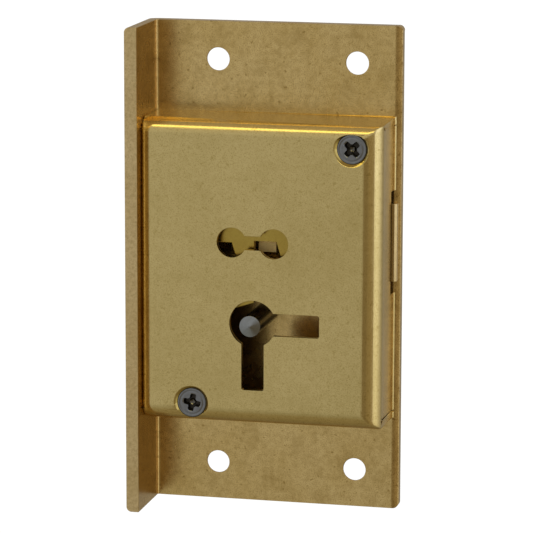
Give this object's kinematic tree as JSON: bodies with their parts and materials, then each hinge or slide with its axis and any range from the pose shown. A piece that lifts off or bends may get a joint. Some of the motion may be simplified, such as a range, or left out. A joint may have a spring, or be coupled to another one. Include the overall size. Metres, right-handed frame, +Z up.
{
  "type": "cut cupboard lock",
  "caption": "Brass lever cupboard lock let into a door: bent plate with selvedge, folded cap with keyhole and drill pin, sliding bolt and sprung levers.",
  "frame": {"origin": "centre of the four screw holes, in the plate face that bears on the wood", "axes": "+Z up the plate's long side, -Y out of the cap and keyhole, -X the way the bolt shoots"},
  "size_m": [0.0409, 0.0142, 0.076],
  "materials": {
    "plate_brass": "rolled brass sheet, lightly stained",
    "cap_brass": "satin rolled brass sheet",
    "screw_steel": "turned blue-grey zinc-plated steel",
    "turned_brass": "turned brass",
    "pin_steel": "turned bright steel",
    "bolt_brass": "cast and filed brass",
    "lever_brass": "blanked brass sheet",
    "spring_brass": "rolled spring brass"
  },
  "bodies": {
    "case": {"back_plate": "plate_brass", "cap": "cap_brass", "cap_screws": "screw_steel", "upper_cap_pillar": "turned_brass", "lower_cap_pillar": "turned_brass", "drill_pin": "pin_steel", "lever_post": "pin_steel"},
    "bolt": {"bolt": "bolt_brass", "bolt_stump": "bolt_brass"},
    "lever_1": {"lever_1": "lever_brass", "lever_spring_1": "spring_brass"},
    "lever_2": {"lever_2": "lever_brass", "lever_spring_2": "spring_brass"},
    "lever_3": {"lever_3": "lever_brass", "lever_spring_3": "spring_brass"},
    "lever_4": {"lever_4": "lever_brass", "lever_spring_4": "spring_brass"}
  },
  "joints": [
    {"name": "bolt_slide", "type": "slide", "parent": "case", "child": "bolt", "axis": [-1, 0, 0], "range_m": [0, 0.007]},
    {"name": "lever_1_pivot", "type": "hinge", "parent": "case", "child": "lever_1", "pos_m": [0.00762, 0, 0.007], "axis": [0, 1, 0], "range_deg": [-10, 2], "stiffness_Nm_per_rad": 0.05, "springref_deg": 0.46, "deforming": ["lever_spring_1"]},
    {"name": "lever_2_pivot", "type": "hinge", "parent": "case", "child": "lever_2", "pos_m": [0.00762, 0, 0.007], "axis": [0, 1, 0], "range_deg": [-10, 2], "stiffness_Nm_per_rad": 0.05, "springref_deg": 0.46, "deforming": ["lever_spring_2"]},
    {"name": "lever_3_pivot", "type": "hinge", "parent": "case", "child": "lever_3", "pos_m": [0.00762, 0, 0.007], "axis": [0, 1, 0], "range_deg": [-10, 2], "stiffness_Nm_per_rad": 0.05, "springref_deg": 0.46, "deforming": ["lever_spring_3"]},
    {"name": "lever_4_pivot", "type": "hinge", "parent": "case", "child": "lever_4", "pos_m": [0.00762, 0, 0.007], "axis": [0, 1, 0], "range_deg": [0, 13.5], "stiffness_Nm_per_rad": 0.05, "springref_deg": -8.59, "deforming": ["lever_spring_4"]}
  ]
}
